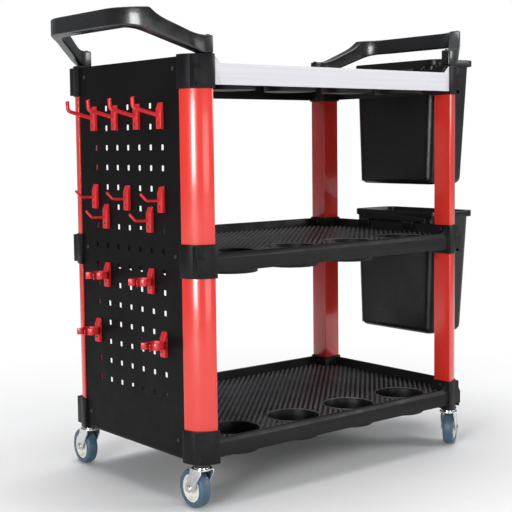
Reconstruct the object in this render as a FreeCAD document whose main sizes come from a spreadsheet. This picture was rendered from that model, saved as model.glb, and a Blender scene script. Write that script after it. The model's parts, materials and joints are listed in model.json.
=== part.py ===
import FreeCAD, Part
import math
import os
import re

import Sketcher

# A three-shelf rolling utility cart: quarter-round posts plugged into the corner collars of three
# moulded shelves, a pegboard with hooks on its left end, two hung bins on its right end, a push
# handle at each end and four swivel casters.
# Frame: origin on the floor under the middle of the shelves, +X along the cart towards the bins,
# +Y towards its back, +Z up. Millimetres.

SIZES = {
    # How far a cut runs past the solid, and how far two pieces of one solid run into each other
    "past": 1,
    "weld": 0.5,
    # Frame of the cart
    "post_corner_x": 328,
    "post_corner_y": 182,
    "post_radius": 46,
    "post_wall": 2.4,
    "shelf_level": 90,
    "shelf_pitch": 354,
    # Shelf moulding
    "collar_tall": 64,
    "collar_proud": 3,
    "socket_deep": 20,
    "socket_clear": 0.15,
    "seat_clear": 0.3,
    "side_face": 368,
    "front_face": 226,
    "skin": 3,
    "side_rim": 8,
    "back_rim": 9,
    "front_rim": 10,
    "floor_top": 41,
    "floor_thick": 4,
    "rim_top": 61,
    "lip_top": 46,
    "lip_ramp": 15,
    "lip_round": 8,
    "well_round": 9,
    "shoulder_deep": 5,
    "shoulder_tall": 9,
    "skirt_bottom": 3,
    "front_skirt_bottom": 10,
    "cup_radius": 54,
    "cup_wall": 2.2,
    "cup_bottom": 1,
    "cup_draft": 5,
    "cup_from_front": 67,
    "cup_pitch": 159,
    "rib_bottom": 25,
    "rib_thick": 2.4,
    "rib_from_cup": 6,
    # Silver strip on the front of the top tray
    "trim_thick": 2.4,
    "trim_bottom": 7,
    "trim_gap": 0.1,
    "trim_return": 8,
    "trim_top_round": 1.5,
    "trim_low_round": 1,
    # Push handles
    "band_thick": 24,
    "band_tall": 34,
    "root_end": 325,
    "root_line": 216,
    "arm_knee": 350,
    "arm_angle": 38,
    "bar_line": 463,
    "knee_radius": 60,
    "corner_radius": 88,
    "handle_rise": 52,
    "rise_start": 345,
    "rise_end": 445,
    "top_rise_start": 358,
    "top_rise_end": 440,
    "rise_low_radius": 60,
    "rise_high_radius": 80,
    # Pegboard
    "panel_face": 371,
    "panel_thick": 3,
    "panel_half": 181.6,
    "panel_notch": 3.1,
    "panel_bottom": 98,
    "panel_top": 858,
    "hole_side": 11,
    "hole_round": 2,
    "hole_pitch": 40,
    "first_hole_up": 210,
    # Hooks and spring clips
    "plate_tall": 50,
    "plate_wide": 16,
    "plate_thick": 8,
    "plate_slant": 12,
    "plate_top_thick": 3,
    "plate_top_round": 1,
    "plate_knee_round": 4,
    "plate_low_round": 2,
    "peg_side": 9,
    "peg_round": 1.5,
    "peg_long": 5,
    "bend_round": 9,
    "long_wire": 4,
    "long_reach": 64,
    "long_rise": 15,
    "long_tip_lean": 1,
    "long_tip_tall": 20,
    "short_wire": 2.6,
    "short_reach": 37,
    "short_drop": 2,
    "short_rise": 1,
    "short_tip": 14,
    "clip_tall": 14,
    # Hung bins
    "bin_wall_x": 384,
    "bin_deep": 131,
    "bin_half": 131,
    "bin_draft": 12,
    "bin_front_draft": 14,
    "bin_tall": 290,
    "bin_above": 22,
    "bin_skin": 2.6,
    "bin_round": 22,
    "bin_rim_out": 6,
    "bin_rim_side": 9,
    "bin_rim_tall": 14,
    "bin_rim_round": 26,
    "hanger_wide": 34,
    "hanger_at": 72,
    "hanger_thick": 3.6,
    "hanger_reach": 14,
    "hanger_round": 3,
    "rim_gap": 0.4,
    "standoff_at": 100,
    "standoff_thick": 4,
    "standoff_under": 4,
    "standoff_tall": 20,
    "standoff_flare": 14,
    # Casters
    "stem_x": 351,
    "stem_y": 205,
    "caster_trail": 22,
    "wheel_radius": 38,
    "tyre_wide": 24,
    "tyre_inner": 27,
    "stem_radius": 6,
    "stem_deep": 38,
    "stem_spare": 2,
    "stem_round": 1.5,
    "flange_out": 3,
    "flange_thick": 3,
    "flange_round": 1,
    "race_radius": 18,
    "race_tall": 6,
    "race_bevel": 3,
    "crown_radius": 20,
    "crown_bottom": 78.5,
    "crown_thick": 3,
    "fork_inside": 28,
    "fork_metal": 2.5,
    "fork_round": 0.8,
    "crown_inset": 3,
    "crown_skirt": 6,
    "axle_radius": 4,
    "turn_clear": 0.05,
    "face_gap": 0.5,
    "bolt_head": 3,
    "bolt_round": 1.2,
    "boss_wall": 5,
    "web_half": 2.5,
    "web_round": 2,
    "seat_wall": 3,
    "seat_slope": 1,
    "seat_inset": 1.5,
    "tread_round": 8,
    "tread_bevel": 1,
    "tread_lip": 1.5,
    # Screws
    "screw_radius": 2,
    "screw_head": 4,
    "screw_head_tall": 2,
    "screw_head_round": 1.2,
    "screw_tip_round": 0.6,
    "screw_long": 9,
    "handle_screw_radius": 2.5,
    "handle_screw_long": 47,
}

CORNERS = {
    "front_left": (-1, -1, 180),
    "front_right": (1, -1, 270),
    "back_right": (1, 1, 0),
    "back_left": (-1, 1, 90),
}

# Which way each caster trails, in degrees from +X towards +Y
CASTER_HEADING = {"front_left": 90, "front_right": 32, "back_right": 60, "back_left": 86}

# Hooks as (column, row) of the pegboard's upper hole, columns from the front and rows from below
LONG_HOOKS = [(0, 14), (2, 14), (4, 14), (6, 14)]
SHORT_HOOKS = [(0, 10), (3, 10), (6, 10), (1, 9), (5, 9)]
SPRING_CLIPS = [(1, 6), (5, 6), (0, 3), (6, 3)]
# How far a clip's pegs go in, by row: the upper ones stand in front of the middle shelf's side
CLIP_PEGS = {6: "panel_thick - seat_clear", 3: "peg_long"}
HOLE_COLUMNS = 7
HOLE_ROWS = 15

# One jaw of a spring clip seen from above, as (out from the board, sideways, rounding): along its
# outside to the flared lip, then back along its inside to the plate
CLIP_JAW = [
    ("-5", "9", "2"),
    ("-15", "17", "8"),
    ("-30", "17", "7"),
    ("-37", "8.5", "5"),
    ("-46", "16"),
    ("-47.4", "14.4"),
    ("-37", "5.4", "7"),
    ("-28.6", "14.6", "5"),
    ("-16", "14.6", "6"),
    ("-10", "6", "3"),
]

# Side of a fork's leg, as (trailing, height, rounding): down its leading edge, round the axle, back up
FORK_LEG = [
    ("-crown_radius + crown_inset", "crown_bottom + crown_thick / 2"),
    ("-crown_radius + crown_inset", "crown_bottom - crown_skirt", "3"),
    ("caster_trail - 13", "wheel_radius - 3", "10"),
    ("caster_trail + 4", "wheel_radius - 10", "8"),
    ("caster_trail + 12", "wheel_radius + 3", "8"),
    ("crown_radius - crown_inset", "crown_bottom - crown_skirt", "14"),
    ("crown_radius - crown_inset", "crown_bottom + crown_thick / 2"),
]

doc = FreeCAD.newDocument("UtilityCart")
sheet = doc.addObject("Spreadsheet::Sheet", "Sizes")
for row, (alias, number) in enumerate(SIZES.items(), start=1):
    sheet.set(f"A{row}", alias.replace("_", " "))
    sheet.set(f"B{row}", str(number))
    sheet.setAlias(f"B{row}", alias)
doc.recompute()


# ---- Rules: short sums over the sheet's words, bound as expressions and read as numbers ----

SCRATCH_CELL = "D1"
WORD = re.compile(r"\b[a-z][a-z_]*[a-z]\b(?!\()")


def rule(text):
    """The expression for a rule such as 'post_radius + collar_proud'."""
    return WORD.sub(lambda word: "Sizes." + word.group(), str(text))


def number_of(text):
    """What a rule comes to now, for the first placing of a sketch's points."""
    sheet.set(SCRATCH_CELL, "=" + str(text))
    sheet.recompute()
    return float(sheet.get(SCRATCH_CELL))


def bind(item, **rules):
    for name, text in rules.items():
        item.setExpression(name, rule(text))
    return item


def move(item, x=0, y=0, z=0, turn=None):
    """Puts an object in place: its position is three rules, turn is a fixed rotation."""
    if turn is not None:
        item.Placement = FreeCAD.Placement(FreeCAD.Vector(), turn)
    for axis, text in zip("xyz", (x, y, z)):
        item.setExpression("Placement.Base." + axis, rule(text))
    return item


def about_z(degrees):
    return FreeCAD.Rotation(FreeCAD.Vector(0, 0, 1), degrees)


# ---- Sketches ----

START, END, CENTRE = 1, 2, 3


def new_sketch(body, name, plane="XY_Plane", offset="0"):
    """A sketch on one of the body's own origin planes, moved along the plane's normal."""
    sketch = body.newObject("Sketcher::SketchObject", name)
    face = next(f for f in body.Origin.OriginFeatures if f.Role == plane)
    sketch.AttachmentSupport = [(face, "")]
    sketch.MapMode = "FlatFace"
    sketch.setExpression("AttachmentOffset.Base.z", rule(offset))
    return sketch


def dimension(sketch, kind, *where, text):
    """Adds a driving dimension and binds it to a rule."""
    index = sketch.addConstraint(Sketcher.Constraint(kind, *where, number_of(text)))
    sketch.setExpression(f"Constraints[{index}]", rule(text))


def pin_point(sketch, shape, point, x, y):
    dimension(sketch, "DistanceX", shape, point, text=x)
    dimension(sketch, "DistanceY", shape, point, text=y)


def outline(sketch, corners, closed=True):
    """A run of straight edges through corners (x, y) or (x, y, radius), each number a rule."""
    spots = [FreeCAD.Vector(number_of(c[0]), number_of(c[1]), 0) for c in corners]
    count = len(corners)
    reach = [0.0] * count
    arcs = {}
    for i, corner in enumerate(corners):
        if len(corner) < 3:
            continue
        back = (spots[i - 1] - spots[i]).normalize()
        ahead = (spots[(i + 1) % count] - spots[i]).normalize()
        half = back.getAngle(ahead) / 2
        radius = number_of(corner[2])
        reach[i] = radius / math.tan(half)
        centre = spots[i] + (back + ahead).normalize() * (radius / math.sin(half))
        arcs[i] = (centre, radius, back, ahead)
    sides = []
    for i in range(count if closed else count - 1):
        j = (i + 1) % count
        along = (spots[j] - spots[i]).normalize()
        edge = Part.LineSegment(spots[i] + along * reach[i], spots[j] - along * reach[j])
        sides.append(sketch.addGeometry(edge, False))
    for i, corner in enumerate(corners):
        inner = closed or 0 < i < count - 1
        before, after = (sides[i - 1], sides[i % len(sides)]) if inner else (None, None)
        if not inner:
            side, point = (sides[0], START) if i == 0 else (sides[-1], END)
            pin_point(sketch, side, point, corner[0], corner[1])
        elif i not in arcs:
            sketch.addConstraint(Sketcher.Constraint("Coincident", before, END, after, START))
            pin_point(sketch, after, START, corner[0], corner[1])
        else:
            round_corner(sketch, before, after, spots[i], arcs[i], corner)


def round_corner(sketch, before, after, spot, arc, corner):
    """An arc tangent to two sides whose lines still meet at the pinned corner point."""
    centre, radius, back, ahead = arc
    first = spot + back * ((centre - spot) * back)
    last = spot + ahead * ((centre - spot) * ahead)
    left_turn = (-back.x) * ahead.y - (-back.y) * ahead.x > 0
    low, high = (first, last) if left_turn else (last, first)
    circle = Part.Circle(centre, FreeCAD.Vector(0, 0, 1), radius)
    angles = [math.atan2(p.y - centre.y, p.x - centre.x) for p in (low, high)]
    if angles[1] < angles[0]:
        angles[1] += 2 * math.pi
    bend = sketch.addGeometry(Part.ArcOfCircle(circle, *angles), False)
    ends = (START, END) if left_turn else (END, START)
    sketch.addConstraint(Sketcher.Constraint("Tangent", before, END, bend, ends[0]))
    sketch.addConstraint(Sketcher.Constraint("Tangent", bend, ends[1], after, START))
    dimension(sketch, "Radius", bend, text=corner[2])
    mark = sketch.addGeometry(Part.Point(spot), True)
    pin_point(sketch, mark, START, corner[0], corner[1])
    sketch.addConstraint(Sketcher.Constraint("PointOnObject", mark, START, before))
    sketch.addConstraint(Sketcher.Constraint("PointOnObject", mark, START, after))


def rectangle(sketch, left, right, low, high, *radius):
    corners = [(left, low), (right, low), (right, high), (left, high)]
    outline(sketch, [(*corner, *radius) for corner in corners])


def circle(sketch, x, y, radius):
    centre = FreeCAD.Vector(number_of(x), number_of(y), 0)
    ring = sketch.addGeometry(Part.Circle(centre, FreeCAD.Vector(0, 0, 1), number_of(radius)), False)
    pin_point(sketch, ring, CENTRE, x, y)
    dimension(sketch, "Radius", ring, text=radius)


def sector(sketch, corner_x, corner_y, side_x, side_y, grown, radius):
    """A quarter round in the quadrant (side_x, side_y), its two flat faces grown inwards."""
    centre = FreeCAD.Vector(number_of(corner_x), number_of(corner_y), 0)
    out, size = number_of(grown), number_of(radius)
    reach = math.sqrt(size * size - out * out)
    inner = centre + FreeCAD.Vector(-side_x * out, -side_y * out, 0)
    on_x = FreeCAD.Vector(centre.x + side_x * reach, inner.y, 0)
    on_y = FreeCAD.Vector(inner.x, centre.y + side_y * reach, 0)
    turns_left = side_x * side_y > 0
    low, high = (on_x, on_y) if turns_left else (on_y, on_x)
    full = Part.Circle(centre, FreeCAD.Vector(0, 0, 1), size)
    angles = [math.atan2(p.y - centre.y, p.x - centre.x) for p in (low, high)]
    if angles[1] < angles[0]:
        angles[1] += 2 * math.pi
    flat_x = sketch.addGeometry(Part.LineSegment(inner, on_x), False)
    bend = sketch.addGeometry(Part.ArcOfCircle(full, *angles), False)
    flat_y = sketch.addGeometry(Part.LineSegment(on_y, inner), False)
    ends = (START, END) if turns_left else (END, START)
    for pair in (
        (flat_x, END, bend, ends[0]),
        (bend, ends[1], flat_y, START),
        (flat_y, END, flat_x, START),
    ):
        sketch.addConstraint(Sketcher.Constraint("Coincident", *pair))
    sketch.addConstraint(Sketcher.Constraint("Horizontal", flat_x))
    sketch.addConstraint(Sketcher.Constraint("Vertical", flat_y))
    pin_point(sketch, bend, CENTRE, corner_x, corner_y)
    pin_point(sketch, flat_x, START,
              f"{corner_x} - {side_x} * ({grown})", f"{corner_y} - {side_y} * ({grown})")
    dimension(sketch, "Radius", bend, text=radius)


# ---- Solids ----

nodes = []


def new_body(name):
    body = doc.addObject("PartDesign::Body", name)
    body.Label = name
    return body


def keep(item, name):
    """Marks a finished object as a sub-part of the cart; its label names its file."""
    item.Label = name
    nodes.append(item)
    return item


def along_normal(kind, word, sketch, length, both_sides, backwards, draft):
    """A pad or a pocket along the sketch's normal; a draft makes it narrow as it goes."""
    body = sketch.getParentGeoFeatureGroup()
    feature = body.newObject(kind, f"{sketch.Name}_{word}")
    feature.Profile = sketch
    feature.Midplane = both_sides
    feature.Reversed = backwards
    sketch.Visibility = False
    return bind(feature, Length=length, TaperAngle=f"-({draft})")


def pad(sketch, length, both_sides=False, backwards=False, draft="0"):
    return along_normal("PartDesign::Pad", "pad", sketch, length, both_sides, backwards, draft)


def pocket(sketch, length, both_sides=False, backwards=False, draft="0"):
    return along_normal("PartDesign::Pocket", "pocket", sketch, length, both_sides, backwards, draft)


def revolve(sketch, axis):
    """Turns a half section round the sketch's own vertical or horizontal axis."""
    body = sketch.getParentGeoFeatureGroup()
    feature = body.newObject("PartDesign::Revolution", sketch.Name + "_turned")
    feature.Profile = sketch
    feature.ReferenceAxis = (sketch, [axis])
    feature.Angle = 360
    return feature


def join(name, pieces):
    fused = doc.addObject("Part::MultiFuse", name)
    fused.Shapes = pieces
    return fused


# ---- Shelves ----


def shelf(name, level, sockets_above, sockets_below, stem_bores):
    """One moulded tray: floor, rims, skirts, four corner collars and four bottle cups."""
    body = new_body(name)

    deck = new_sketch(body, name + "_deck", offset="skirt_bottom")
    rectangle(deck, "-side_face", "side_face", "-front_face", "front_face")
    pad(deck, "rim_top - skirt_bottom")

    well = new_sketch(body, name + "_well", offset="rim_top")
    rectangle(well, "-side_face + side_rim", "side_face - side_rim",
              "-front_face + front_rim", "front_face - back_rim", "well_round")
    pocket(well, "rim_top - floor_top")

    hollow = new_sketch(body, name + "_hollow", offset="floor_top - floor_thick")
    rectangle(hollow, "-side_face + skin", "side_face - skin", "-front_face + skin", "front_face - skin")
    pocket(hollow, "floor_top - floor_thick")

    lip = new_sketch(body, name + "_lip", "XZ_Plane", "front_face + past")
    ramp_end = "post_corner_x - collar_proud"
    outline(lip, [
        (f"-({ramp_end}) + lip_ramp", "lip_top", "lip_round"),
        (f"{ramp_end} - lip_ramp", "lip_top", "lip_round"),
        (ramp_end, "collar_tall"),
        (f"-({ramp_end})", "collar_tall"),
    ])
    pocket(lip, "front_rim + past")

    shoulder = new_sketch(body, name + "_shoulder", "YZ_Plane")
    outline(shoulder, [
        ("-front_face - past", "lip_top - shoulder_tall * (shoulder_deep + past) / shoulder_deep"),
        ("-front_face + shoulder_deep", "lip_top"),
        ("-front_face + shoulder_deep", "rim_top + past"),
        ("-front_face - past", "rim_top + past"),
    ])
    pocket(shoulder, "2 * (side_face + past)", both_sides=True)

    low_front = new_sketch(body, name + "_low_front", offset="front_skirt_bottom")
    rectangle(low_front, "-side_face - past", "side_face + past", "-front_face - past", "-front_face + skin")
    pocket(low_front, "front_skirt_bottom")

    ribs = new_sketch(body, name + "_ribs", offset="rib_bottom")
    for line in range(-2, 3):
        rectangle(ribs, f"{line} * cup_pitch - rib_thick / 2", f"{line} * cup_pitch + rib_thick / 2",
                  "-front_face + cup_from_front + cup_radius + rib_from_cup", "front_face - skin / 2")
    pad(ribs, "floor_top - floor_thick / 2 - rib_bottom")

    cups = [(f"({place}) * cup_pitch", "-front_face + cup_from_front") for place in (-1.5, -0.5, 0.5, 1.5)]
    cup_walls = new_sketch(body, name + "_cup_walls", offset="floor_top - floor_thick / 2")
    for x, y in cups:
        circle(cup_walls, x, y, "cup_radius + cup_wall")
    pad(cup_walls, "floor_top - floor_thick / 2 - cup_bottom", backwards=True, draft="cup_draft")
    cup_hollows = new_sketch(body, name + "_cup_hollows", offset="floor_top")
    for x, y in cups:
        circle(cup_hollows, x, y, "cup_radius")
    pocket(cup_hollows, "floor_top - cup_bottom - cup_wall", draft="cup_draft")

    collars = new_sketch(body, name + "_collars")
    for side_x, side_y, _ in CORNERS.values():
        sector(collars, f"{side_x} * post_corner_x", f"{side_y} * post_corner_y", side_x, side_y,
               "collar_proud", "post_radius + collar_proud")
    pad(collars, "collar_tall")

    wanted = [("above", "collar_tall", sockets_above), ("below", "socket_deep", sockets_below)]
    for word, top, present in wanted:
        if not present:
            continue
        sockets = new_sketch(body, f"{name}_sockets_{word}", offset=top)
        for side_x, side_y, _ in CORNERS.values():
            sector(sockets, f"{side_x} * post_corner_x", f"{side_y} * post_corner_y", side_x, side_y,
                   "socket_clear", "post_radius + socket_clear")
        pocket(sockets, "socket_deep")
    if stem_bores:
        bores = new_sketch(body, name + "_stem_bores", offset="stem_deep + stem_spare")
        for side_x, side_y, _ in CORNERS.values():
            circle(bores, f"{side_x} * stem_x", f"{side_y} * stem_y", "stem_radius + turn_clear")
        pocket(bores, "stem_deep + stem_spare")
    move(body, z=level)
    return keep(body, name)


def tray_trim(name):
    """Satin strip over the top tray's front skirt, with a fin beside each collar."""
    body = new_body(name)
    front = "-front_face - trim_gap"
    top = "lip_top + trim_gap"
    section = new_sketch(body, name + "_section", "YZ_Plane")
    outline(section, [
        (front, "trim_bottom"),
        (front, top),
        (f"{front} + trim_return", top),
        (f"{front} + trim_return", f"{top} + trim_thick / 2"),
        (f"{front} - trim_thick", f"{top} + trim_thick / 2", "trim_top_round"),
        (f"{front} - trim_thick", "trim_bottom", "trim_low_round"),
    ])
    end = "post_corner_x - collar_proud - seat_clear"
    pad(section, f"2 * ({end} - lip_ramp)", both_sides=True)
    for side in (-1, 1):
        fin = new_sketch(body, f"{name}_fin_{'left' if side < 0 else 'right'}", "XZ_Plane",
                         "front_face + trim_gap")
        inner, outer = f"{side} * ({end} - lip_ramp - weld)", f"{side} * ({end})"
        ramp = [(inner, "trim_bottom"), (outer, "trim_bottom"), (outer, "rim_top"), (inner, top)]
        outline(fin, ramp if side > 0 else ramp[::-1])
        pad(fin, "trim_thick")
    move(body, z="shelf_level + 2 * shelf_pitch")
    return keep(body, name)


# ---- Posts ----


def post(name, corner, tier):
    """One quarter-round tube, plugged into the collar below and the collar above."""
    side_x, side_y, degrees = CORNERS[corner]
    body = new_body(name)
    section = new_sketch(body, name + "_section")
    sector(section, "0", "0", 1, 1, "0", "post_radius")
    sector(section, "0", "0", 1, 1, "-post_wall", "post_radius - post_wall")
    pad(section, "shelf_pitch - collar_tall + 2 * (socket_deep - seat_clear)")
    move(body, f"{side_x} * post_corner_x", f"{side_y} * post_corner_y",
         f"shelf_level + {tier} * shelf_pitch + collar_tall - socket_deep + seat_clear", about_z(degrees))
    return keep(body, name)


# ---- Push handles ----


def handle(name, side):
    """A flat-sided band: roots on the tray's collars, arms rising outwards, bar across the end."""
    body = new_body(name)
    half = "band_thick / 2"
    knee_y = "-root_line"
    corner_y = "-root_line + (bar_line - arm_knee) * tan(arm_angle)"
    knee_shift, corner_shift = f"{half} * tan(arm_angle / 2)", f"{half} * tan(45 - arm_angle / 2)"
    outer = [
        ("root_end", f"{knee_y} - {half}"),
        (f"arm_knee + {knee_shift}", f"{knee_y} - {half}", f"knee_radius + {half}"),
        (f"bar_line + {half}", f"{corner_y} - {corner_shift}", f"corner_radius + {half}"),
    ]
    inner = [
        (f"bar_line - {half}", f"{corner_y} + {corner_shift}", f"corner_radius - {half}"),
        (f"arm_knee - {knee_shift}", f"{knee_y} + {half}", f"knee_radius - {half}"),
        ("root_end", f"{knee_y} + {half}"),
    ]

    def mirrored(points):
        return [(p[0], f"-({p[1]})", *p[2:]) for p in reversed(points)]

    plan = new_sketch(body, name + "_plan")
    outline(plan, outer + mirrored(outer) + mirrored(inner) + inner)
    pad(plan, "handle_rise + band_tall")

    above = new_sketch(body, name + "_above", "XZ_Plane")
    outline(above, [
        ("root_end - past", "band_tall"),
        ("top_rise_start", "band_tall", "rise_low_radius"),
        ("top_rise_end", "band_tall + handle_rise", "rise_high_radius"),
        ("top_rise_end", "2 * band_tall + handle_rise"),
        ("root_end - past", "2 * band_tall + handle_rise"),
    ])
    below = new_sketch(body, name + "_below", "XZ_Plane")
    outline(below, [
        ("rise_start", "-past"),
        ("bar_line + band_thick", "-past"),
        ("bar_line + band_thick", "handle_rise"),
        ("rise_end", "handle_rise", "rise_high_radius"),
    ])
    pocket(above, "4 * root_line", both_sides=True)
    pocket(below, "4 * root_line", both_sides=True)
    turn = about_z(0 if side > 0 else 180)
    move(body, z="shelf_level + 2 * shelf_pitch + collar_tall", turn=turn)
    return keep(body, name)


# ---- Pegboard and what hangs on it ----


def pegboard(name):
    """A flat panel between the left posts, notched round the collars, with a grid of square holes."""
    body = new_body(name)
    sheet_outline = new_sketch(body, name + "_outline", "YZ_Plane", "-panel_face")
    right = []
    for tier in range(3):
        low = f"shelf_level + {tier} * shelf_pitch - seat_clear"
        high = f"shelf_level + {tier} * shelf_pitch + collar_tall + seat_clear"
        narrow, full = "panel_half - panel_notch", "panel_half"
        if tier == 0:
            right += [(narrow, "panel_bottom"), (narrow, high), (full, high)]
        elif tier == 1:
            right += [(full, low), (narrow, low), (narrow, high), (full, high)]
        else:
            right += [(full, low), (narrow, low), (narrow, "panel_top")]
    left = [(f"-({x})", z) for x, z in reversed(right)]
    outline(sheet_outline, right + left)
    pad(sheet_outline, "panel_thick")

    first = new_sketch(body, name + "_hole", "YZ_Plane", "-panel_face + panel_thick")
    start_y = f"-{HOLE_COLUMNS // 2} * hole_pitch"
    rectangle(first, f"{start_y} - hole_side / 2", f"{start_y} + hole_side / 2",
              "first_hole_up - hole_side / 2", "first_hole_up + hole_side / 2", "hole_round")
    hole = pocket(first, "panel_thick")
    doc.recompute()
    grid = body.newObject("PartDesign::MultiTransform", name + "_grid")
    grid.Originals = [hole]
    steps = []
    for word, role, count in (("columns", "Y_Axis", HOLE_COLUMNS), ("rows", "Z_Axis", HOLE_ROWS)):
        step = body.newObject("PartDesign::LinearPattern", f"{name}_{word}")
        axis = next(f for f in body.Origin.OriginFeatures if f.Role == role)
        step.Direction = (axis, [""])
        step.Occurrences = count
        bind(step, Length=f"{count - 1} * hole_pitch")
        steps.append(step)
    grid.Transformations = steps
    body.Tip = grid
    return keep(body, name)


def hook_plate(body, name, peg="peg_long"):
    """The back plate with a slanted top, and the two pegs that go through the board's holes."""
    side = new_sketch(body, name + "_plate", "XZ_Plane")
    outline(side, [
        ("0", "-plate_tall / 2"),
        ("0", "plate_tall / 2"),
        ("-plate_top_thick", "plate_tall / 2", "plate_top_round"),
        ("-plate_thick", "plate_tall / 2 - plate_slant", "plate_knee_round"),
        ("-plate_thick", "-plate_tall / 2", "plate_low_round"),
    ])
    pad(side, "plate_wide", both_sides=True)
    pegs = new_sketch(body, name + "_pegs", "YZ_Plane", "-weld")
    for row in (-1, 1):
        middle = f"{row} * hole_pitch / 2"
        rectangle(pegs, "-peg_side / 2", "peg_side / 2", f"{middle} - peg_side / 2",
                  f"{middle} + peg_side / 2", "peg_round")
    pad(pegs, f"{peg} + weld")


def bent_wire(body, name, radius, points):
    """A round rod bent through points of the XZ plane, starting inside the plate."""
    path = new_sketch(body, name + "_path", "XZ_Plane")
    outline(path, points, closed=False)
    ring = new_sketch(body, name + "_rod", "YZ_Plane", points[0][0])
    circle(ring, "0", points[0][1], radius)
    rod = body.newObject("PartDesign::AdditivePipe", name + "_wire")
    rod.Profile = ring
    rod.Spine = (path, [f"Edge{i + 1}" for i in range(2 * len(points) - 3)])
    path.Visibility = False
    ring.Visibility = False


def at_hole(body, column, row):
    """Hangs a plate with its upper peg in the named hole, its back on the board's face."""
    move(body, "-panel_face", f"{column - HOLE_COLUMNS // 2} * hole_pitch",
         f"first_hole_up + {row} * hole_pitch - hole_pitch / 2")


def long_hook(name, column, row):
    """A thick prong rising outwards, its end turned up."""
    body = new_body(name)
    hook_plate(body, name)
    bent_wire(body, name, "long_wire", [
        ("-plate_thick / 2", "0"),
        ("-long_reach", "long_rise", "bend_round"),
        ("-long_reach - long_tip_lean", "long_rise + long_tip_tall"),
    ])
    at_hole(body, column, row)
    return keep(body, name)


def short_hook(name, column, row):
    """A thin prong straight out, its end bent up at half a right angle."""
    body = new_body(name)
    hook_plate(body, name)
    bent_wire(body, name, "short_wire", [
        ("-plate_thick / 2", "-short_drop"),
        ("-short_reach", "-short_drop + short_rise", "bend_round"),
        ("-short_reach - short_tip", "-short_drop + short_rise + short_tip"),
    ])
    at_hole(body, column, row)
    return keep(body, name)


def spring_clip(name, column, row, peg):
    """Two sprung jaws that close round a tool's handle, seen from above as a bulb with flared lips."""
    body = new_body(name)
    hook_plate(body, name, peg)
    jaws = new_sketch(body, name + "_jaws", offset="-clip_tall / 2")
    other_jaw = [(x, f"-({y})", *radius) for x, y, *radius in reversed(CLIP_JAW)]
    outline(jaws, CLIP_JAW + other_jaw)
    pad(jaws, "clip_tall")
    at_hole(body, column, row)
    return keep(body, name)


# ---- Hung bins ----


def hung_bin(name, tier):
    """A tapered bin with a rolled rim and two tabs that hang over the shelf's side rim."""
    body = new_body(name)
    inside = "bin_wall_x"

    def ring(sketch, shrink, at_bottom):
        draft, front_draft = ("bin_draft", "bin_front_draft") if at_bottom else ("0", "0")
        rectangle(sketch, f"{inside} + {shrink}", f"{inside} + bin_deep - {front_draft} - {shrink}",
                  f"-bin_half + {draft} + {shrink}", f"bin_half - {draft} - {shrink}",
                  f"bin_round - {shrink}")

    for word, kind, shrink, bottom in (
        ("shell", "PartDesign::AdditiveLoft", "0", "0"),
        ("hollow", "PartDesign::SubtractiveLoft", "bin_skin", "bin_skin"),
    ):
        low = new_sketch(body, f"{name}_{word}_low", offset=bottom)
        ring(low, shrink, True)
        high = new_sketch(body, f"{name}_{word}_high", offset="bin_tall")
        ring(high, shrink, False)
        loft = body.newObject(kind, f"{name}_{word}")
        loft.Profile = low
        loft.Sections = [high]

    rim = new_sketch(body, name + "_rim", offset="bin_tall - bin_rim_tall")
    rectangle(rim, inside, f"{inside} + bin_deep + bin_rim_out", "-bin_half - bin_rim_side",
              "bin_half + bin_rim_side", "bin_rim_round")
    rectangle(rim, f"{inside} + bin_skin", f"{inside} + bin_deep + bin_rim_out - bin_skin",
              "-bin_half - bin_rim_side + bin_skin", "bin_half + bin_rim_side - bin_skin",
              "bin_rim_round - bin_skin")
    pad(rim, "bin_rim_tall")
    flange = new_sketch(body, name + "_flange", offset="bin_tall - bin_skin")
    rectangle(flange, inside, f"{inside} + bin_deep + bin_rim_out", "-bin_half - bin_rim_side",
              "bin_half + bin_rim_side", "bin_rim_round")
    rectangle(flange, f"{inside} + bin_skin", f"{inside} + bin_deep - bin_skin",
              "-bin_half + bin_skin", "bin_half - bin_skin", "bin_round - bin_skin")
    pad(flange, "bin_skin")

    # Tabs: over the rim and down inside it
    hook_top = "bin_tall - bin_above - collar_tall + rim_top + rim_gap"
    leg_out, leg_in = "side_face - side_rim - rim_gap", "side_face - side_rim - rim_gap - hanger_thick"
    for side, word in ((-1, "front"), (1, "back")):
        tab = new_sketch(body, f"{name}_tab_{word}", "XZ_Plane", f"{side} * hanger_at")
        outline(tab, [
            (leg_in, f"{hook_top} - hanger_reach"),
            (leg_out, f"{hook_top} - hanger_reach"),
            (leg_out, hook_top),
            (f"{inside} + weld", hook_top),
            (f"{inside} + weld", f"{hook_top} + hanger_thick"),
            (leg_in, f"{hook_top} + hanger_thick", "hanger_round"),
        ])
        pad(tab, "hanger_wide", both_sides=True)
        stand = new_sketch(body, f"{name}_standoff_{word}", "XZ_Plane", f"{side} * standoff_at")
        outline(stand, [
            ("side_face + rim_gap", f"{hook_top} - standoff_under - standoff_tall"),
            (f"{inside} + weld", f"{hook_top} - standoff_under - standoff_tall - standoff_flare"),
            (f"{inside} + weld", f"{hook_top} - standoff_under + standoff_flare"),
            ("side_face + rim_gap", f"{hook_top} - standoff_under"),
        ])
        pad(stand, "standoff_thick", both_sides=True)
    move(body, z=f"shelf_level + {tier} * shelf_pitch + collar_tall + bin_above - bin_tall")
    return keep(body, name)


# ---- Casters: each piece is drawn about the stem, trailing along +X, and then turned ----


def caster_place(body, corner):
    side_x, side_y, _ = CORNERS[corner]
    move(body, f"{side_x} * stem_x", f"{side_y} * stem_y", "0", about_z(CASTER_HEADING[corner]))


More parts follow.
